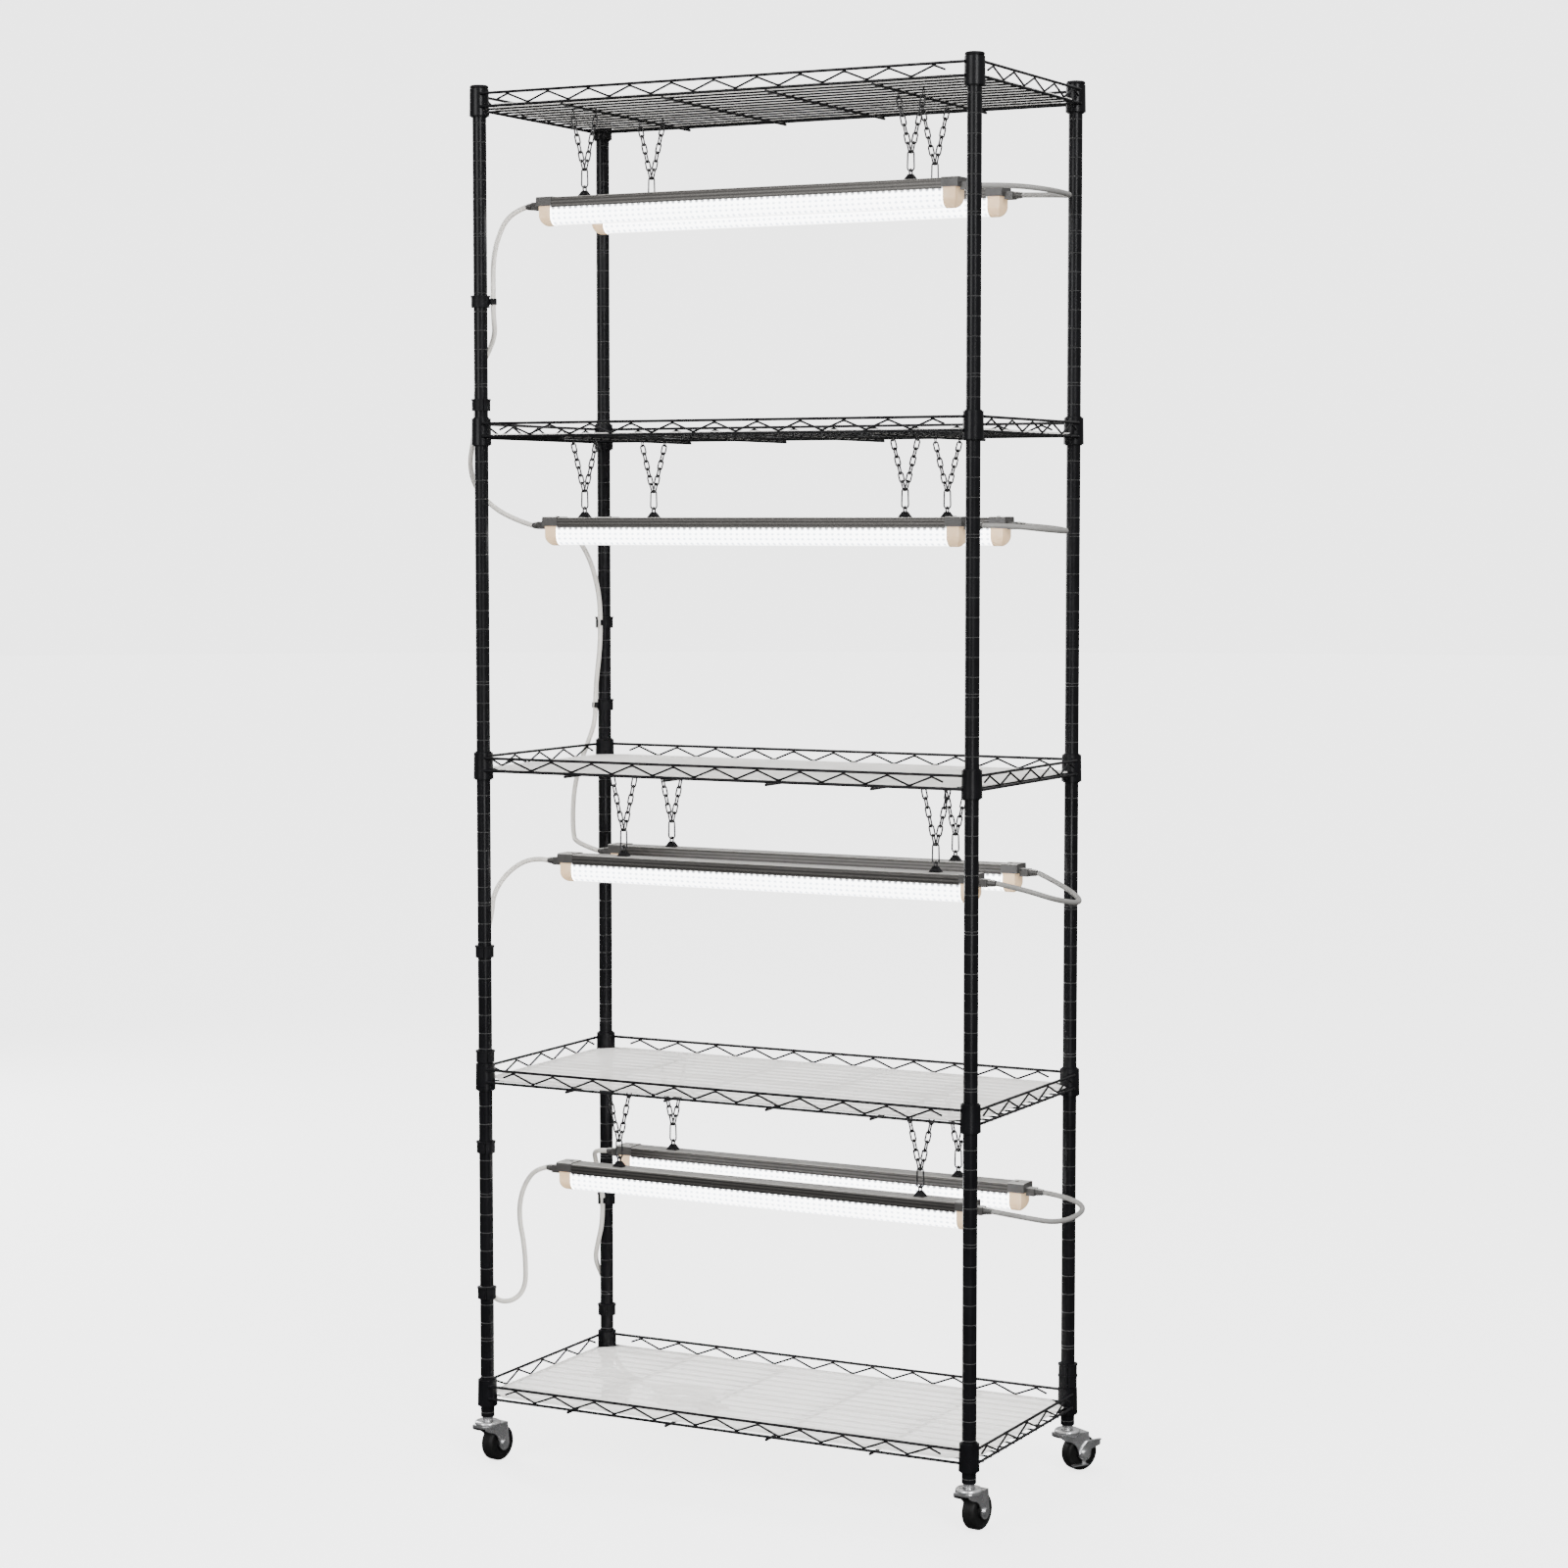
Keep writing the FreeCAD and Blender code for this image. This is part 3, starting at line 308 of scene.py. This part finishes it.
for key in LAMPS:
    shift = LAMP_SHIFT[key] * MM
    mid = LAMP_Z[key[0]] * MM

    # Faces that face up take the lighter copies: painted highlight on the lamp tops and end block tops.
    def housing_part(face, shift=shift, mid=mid):
        along = abs(face.center.x - shift)
        high = face.center.z - mid
        if along > BLOCK_START:
            return 4 if face.normal.z > FACES_UP else 1
        if BOARD_Z[0] < high < BOARD_Z[1] and along < BOARD_END:
            return 2
        return 3 if face.normal.z > FACES_UP else 0

    def glow_part(face, shift=shift):
        return 1 if abs(face.center.x - shift) > CAP_START else 0

    def hanger_part(face, mid=mid):
        return 1 if face.center.z - mid < CLIP_TOP else 0

    paint(lamp_name(key) + "_housing", [ALU, GREY, BOARD, ALU_PAINTED_LIT_TOP, GREY_PAINTED_LIT_TOP], housing_part)
    paint(lamp_name(key) + "_diffuser", [GLOW, CREAM], glow_part)
    paint(lamp_name(key) + "_hangers", [NICKEL, PLASTIC], hanger_part)


# ---------------------------------------------------------------- cables

CABLE_D = 7 * MM
PLUG_FACE = 341.0  # end face of a lamp's plug, from the lamp's middle
PLUG_UP = 8        # its axis above the lamp's level
PLUG_GAP = 0.35


def plug_point(key, side, toward):
    """Start of a cable at a lamp's plug; it stands off by as much as its end face leans."""
    y = LAMP_Y if key[1] == "rear" else -LAMP_Y
    face = Vector((LAMP_SHIFT[key] + side * PLUG_FACE, y, LAMP_Z[key[0]] + PLUG_UP))
    away = Vector(toward) - face
    lean = math.hypot(away.y, away.z) / away.length
    return (face.x + side * (PLUG_GAP + 3.5 * lean), face.y, face.z)


def curve_object(name, points, diameter, closed_ends=True):
    """A round cable along a smooth curve whose control points are in millimetres."""
    data = bpy.data.curves.new(name, "CURVE")
    data.dimensions = "3D"
    data.resolution_u = 8
    data.bevel_depth = diameter / 2
    data.bevel_resolution = 5
    data.use_fill_caps = closed_ends
    line = data.splines.new("NURBS")
    line.points.add(len(points) - 1)
    for spot, at in zip(line.points, points):
        spot.co = (at[0] * MM, at[1] * MM, at[2] * MM, 1)
    line.order_u = 3
    line.use_endpoint_u = True
    obj = bpy.data.objects.new(name, data)
    bpy.context.scene.collection.objects.link(obj)
    return obj


def centre_line(points):
    """Points of the same curve, close together."""
    probe = curve_object("probe", points, 0.0, False)
    graph = bpy.context.evaluated_depsgraph_get()
    mesh = bpy.data.meshes.new_from_object(probe.evaluated_get(graph))
    path = [v.co.copy() for v in mesh.vertices]
    bpy.data.objects.remove(probe)
    bpy.data.meshes.remove(mesh)
    return path


def tube_mesh(name, points, diameter, mat):
    curve = curve_object(name + "_curve", points, diameter)
    graph = bpy.context.evaluated_depsgraph_get()
    mesh = bpy.data.meshes.new_from_object(curve.evaluated_get(graph))
    bpy.data.objects.remove(curve)
    obj = bpy.data.objects.new(name, mesh)
    bpy.context.scene.collection.objects.link(obj)
    mesh.materials.clear()
    mesh.materials.append(mat)
    for face in mesh.polygons:
        face.use_smooth = True
        face.material_index = 0
    return obj


def half_way(a, b):
    return tuple((p + q) / 2 for p, q in zip(a, b))


def cable_half(name, points, mat):
    """One cable from a lamp's plug, points[0], to a held point, points[-1]."""
    path = centre_line(points)
    obj = tube_mesh(name, points, CABLE_D, mat)
    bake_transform(obj)
    return obj


LINKS = {
    1: [(402, -74, 402), (443, -44, 392), (449, 34, 396), (414, 71, 403)],
    2: [(404, -73, 833), (438, -44, 818), (443, 34, 807), (400, 71, 824)],
    3: [(381, -73, 1306), (416, -44, 1301), (420, 34, 1298), (382, 71, 1303)],
    4: [(376, -73, 1743), (419, -44, 1738), (423, 34, 1736), (376, 71, 1742)],
}
for number, middle in LINKS.items():
    front = (number, "front")
    rear = (number, "rear")
    centre = half_way(middle[1], middle[2])
    link = cable_half("link_%d_front" % number, [plug_point(front, 1, middle[0])] + middle[:2] + [centre],
                      CABLE_GREY)
    cable_half("link_%d_rear" % number, [plug_point(rear, 1, middle[-1])] + middle[:1:-1] + [centre],
               CABLE_GREY)
    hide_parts("cable_link_%d" % number)

FL_BACK = (-380.4, -141.8)
FL_OUT = (-387.3, -147.1)
FL_SIDE = (-352.8, -157.0)
BL_BACK = (-380.4, 188.4)
BL_SIDE = (-365.0, 147.9)
UPPER = [(-363, -79, 1739), (-373, -92, 1725), (-373, -109, 1704), (-368, -128, 1682), (-359, -147, 1659),
         FL_SIDE + (1632,), FL_SIDE + (1590,), (-358.5, -143, 1566), (-373, -140, 1540), FL_OUT + (1512,),
         FL_OUT + (1446,), (-394, -147, 1418), (-400.6, -145, 1388), (-400, -130, 1356), (-388, -103, 1330),
         (-366, -83, 1314)]
REAR = [(-361.4, 76, 1306), (-374, 86, 1300.5), (-377, 102, 1289), (-373, 119, 1271), (-369, 132, 1248),
        (-366.3, 142, 1219), BL_SIDE + (1189,), BL_SIDE + (1132,), (-373.8, 148.5, 1072),
        (-373.8, 148.5, 1022), (-386.5, 146, 988), (-397, 140, 955), (-402, 134, 921), (-395, 118, 888),
        (-381, 96, 862), (-368, 81, 849)]
LOWER = [(-344, -78, 843), (-370, -96, 826), (-379, -124, 797), (-373, -139, 766), FL_BACK + (738,),
         FL_BACK + (690,), FL_OUT + (610,), FL_OUT + (550,), FL_OUT + (505,), FL_BACK + (472,),
         FL_BACK + (415,), FL_BACK + (340,), FL_BACK + (285,), FL_BACK + (236,), (-370.4, -129.6, 220),
         (-356.3, -112.5, 220), (-346, -100, 236), (-346, -98, 268), (-351.5, -94.5, 302),
         (-361, -90, 330), (-362, -87, 358), (-355, -82, 384), (-341, -77, 402)]
FEEDS = {
    "cable_feed_upper": ((4, "front"), UPPER, 7, (3, "front")),
    "cable_feed_rear": ((3, "rear"), REAR, 8, (2, "rear")),
    "cable_feed_lower": ((2, "front"), LOWER, 6, (1, "front")),
}
for name, (first, middle, cut, last) in FEEDS.items():
    centre = half_way(middle[cut - 1], middle[cut])
    top = cable_half(name + "_top", [plug_point(first, -1, middle[0])] + middle[:cut] + [centre],
                     CABLE)
    cable_half(name + "_foot", [plug_point(last, -1, middle[-1])] + middle[:cut - 1:-1] + [centre],
               CABLE)
    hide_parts(name)

COIL = Vector((-292, 262, 0))
FLOOR = 3.6  # height of the axis of a cable that lies on the floor
LEAD_EXIT = (-329, 76, 405)
LEAD_TOP = [plug_point((1, "rear"), -1, LEAD_EXIT), LEAD_EXIT, (-342, 86, 399.5), (-350, 102, 387),
            (-359, 124, 370), BL_SIDE + (338,), BL_SIDE + (311,)]
LEAD_FOOT = [BL_SIDE + (311,), BL_SIDE + (284,), (-374, 149, 252), (-385.5, 160, 224), (-384, 177, 198),
             BL_BACK + (173,), BL_BACK + (124,), (-382.5, 196, 94), (-384, 212, 68), (-382, 234, 44),
             (-375, 258, 22), (-361, 281, 7), (-340, 300, FLOOR), (-313, 307, FLOOR)]
lead = cable_half("mains_lead_top", LEAD_TOP, CABLE)
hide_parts("mains_lead")

# Turns of the coil: radius and height of each, from the outside lower turn round to the plug.
TURNS = [(45, 3.6), (38, 3.6), (31, 3.6), (34.5, 9.8), (41.5, 9.8)]
STEPS = 16


def coil_points():
    pts = []
    total = len(TURNS) * STEPS
    for i in range(total + 1):
        turn = i / STEPS
        low = min(int(turn), len(TURNS) - 1)
        high = min(low + 1, len(TURNS) - 1)
        share = max(0.0, min(1.0, (turn - low - 0.75) / 0.25))
        share = share * share * (3 - 2 * share)
        radius = TURNS[low][0] + (TURNS[high][0] - TURNS[low][0]) * share
        height = TURNS[low][1] + (TURNS[high][1] - TURNS[low][1]) * share
        angle = math.pi / 2 - 2 * math.pi * turn
        pts.append((COIL.x + radius * math.cos(angle), COIL.y + radius * math.sin(angle), height))
    return pts


coil_turns = coil_points()
last_radius, last_height = TURNS[-1]
turn_back = [(COIL.x + last_radius * math.cos(a), COIL.y + last_radius * math.sin(a), last_height)
             for a in [math.pi / 2 - math.pi * k / 8 for k in range(1, 9)]]
MAINS_POINTS = LEAD_FOOT[:-1] + coil_turns + turn_back
mains = curve_object("mains_cord", MAINS_POINTS, CABLE_D)
mains.data.materials.append(CABLE)
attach(mains, "rack")
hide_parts("mains_coil")
BLADES_START = -0.2118
paint("mains_plug", [CABLE, BRASS], lambda face: 1 if face.center.x > BLADES_START else 0)
mains_path = centre_line(MAINS_POINTS)


# ---------------------------------------------------------------- floor, light, camera

def staged(name, verts, faces, power):
    """A bright plain surface of the set that does not light the rack."""
    mesh = bpy.data.meshes.new(name)
    mesh.from_pydata(verts, [], faces)
    obj = bpy.data.objects.new(name, mesh)
    bpy.context.scene.collection.objects.link(obj)
    mat = surface(name + "_paper", (0.84, 0.84, 0.84), 0.01, 0.85, 0.02, scale=2, grain=60)
    shader = mat.node_tree.nodes["Principled BSDF"]
    shader.inputs["Emission Color"].default_value = (1, 1, 1, 1)
    shader.inputs["Emission Strength"].default_value = power
    mesh.materials.append(mat)
    obj.visible_diffuse = False
    obj.visible_glossy = False
    return obj


FLOOR_GLOW = 2.9
WALL_GLOW = 3.1


def studio():
    """Pale round floor with a pale wall all the way round it."""
    count = 64
    radius = 30.0
    height = 30.0
    circle = [(radius * math.cos(2 * math.pi * i / count), radius * math.sin(2 * math.pi * i / count))
              for i in range(count)]
    staged("floor", [(x, y, 0) for x, y in circle], [list(range(count))], FLOOR_GLOW)
    verts = [(x, y, -0.01) for x, y in circle] + [(x, y, height) for x, y in circle]
    faces = [[i, (i + 1) % count, (i + 1) % count + count, i + count] for i in range(count)]
    faces.append([i + count for i in range(count)])
    wall = staged("wall", verts, faces, WALL_GLOW)
    wall.visible_shadow = False


def area(name, at, target, size, power):
    data = bpy.data.lights.new(name, "AREA")
    data.shape = "RECTANGLE"
    data.size = size[0]
    data.size_y = size[1]
    data.energy = power
    obj = bpy.data.objects.new(name, data)
    obj.location = at
    obj.rotation_euler = (Vector(target) - Vector(at)).to_track_quat("-Z", "Y").to_euler()
    bpy.context.scene.collection.objects.link(obj)


def world():
    """Soft light from above, dimmer from below."""
    made = bpy.data.worlds.new("studio")
    made.use_nodes = True
    tree = made.node_tree
    tree.nodes.clear()
    out = tree.nodes.new("ShaderNodeOutputWorld")
    back = tree.nodes.new("ShaderNodeBackground")
    where = tree.nodes.new("ShaderNodeTexCoord")
    split = tree.nodes.new("ShaderNodeSeparateXYZ")
    tree.links.new(where.outputs["Generated"], split.inputs[0])
    tree.links.new(remap(tree, split.outputs["Z"], 0.1, 1.0, -0.25, 0.7), back.inputs["Strength"])
    tree.links.new(back.outputs[0], out.inputs[0])
    back.inputs["Color"].default_value = (1, 1, 1, 1)
    bpy.context.scene.world = made


studio()
world()
area("key", (3.4, -3.0, 3.2), (0, 0, 1.0), (1.4, 2.2), 190)
area("fill", (-1.2, -4.6, 2.4), (0, 0, 1.0), (2.4, 2.4), 130)
area("rim", (-3.4, 1.4, 2.2), (0, 0, 1.0), (0.8, 3.0), 100)
area("low_strip", (1.7, -2.2, 0.6), (0.2, 0, 0.05), (0.9, 0.25), 20)

YAW = math.radians(27.378)
PITCH = math.radians(4.350)
look = Vector((-math.sin(YAW) * math.cos(PITCH), math.cos(YAW) * math.cos(PITCH), -math.sin(PITCH)))
right = Vector((math.cos(YAW), math.sin(YAW), 0))
up = right.cross(look)
camera = bpy.data.objects.new("camera", bpy.data.cameras.new("camera"))
camera.data.lens = 79.61
camera.data.sensor_width = 36
camera.data.clip_end = 200
turned = Matrix((right, up, -look)).transposed().to_4x4()
camera.matrix_world = Matrix.Translation((2.1891, -4.2037, 1.3131)) @ turned
bpy.context.scene.collection.objects.link(camera)
bpy.context.scene.camera = camera
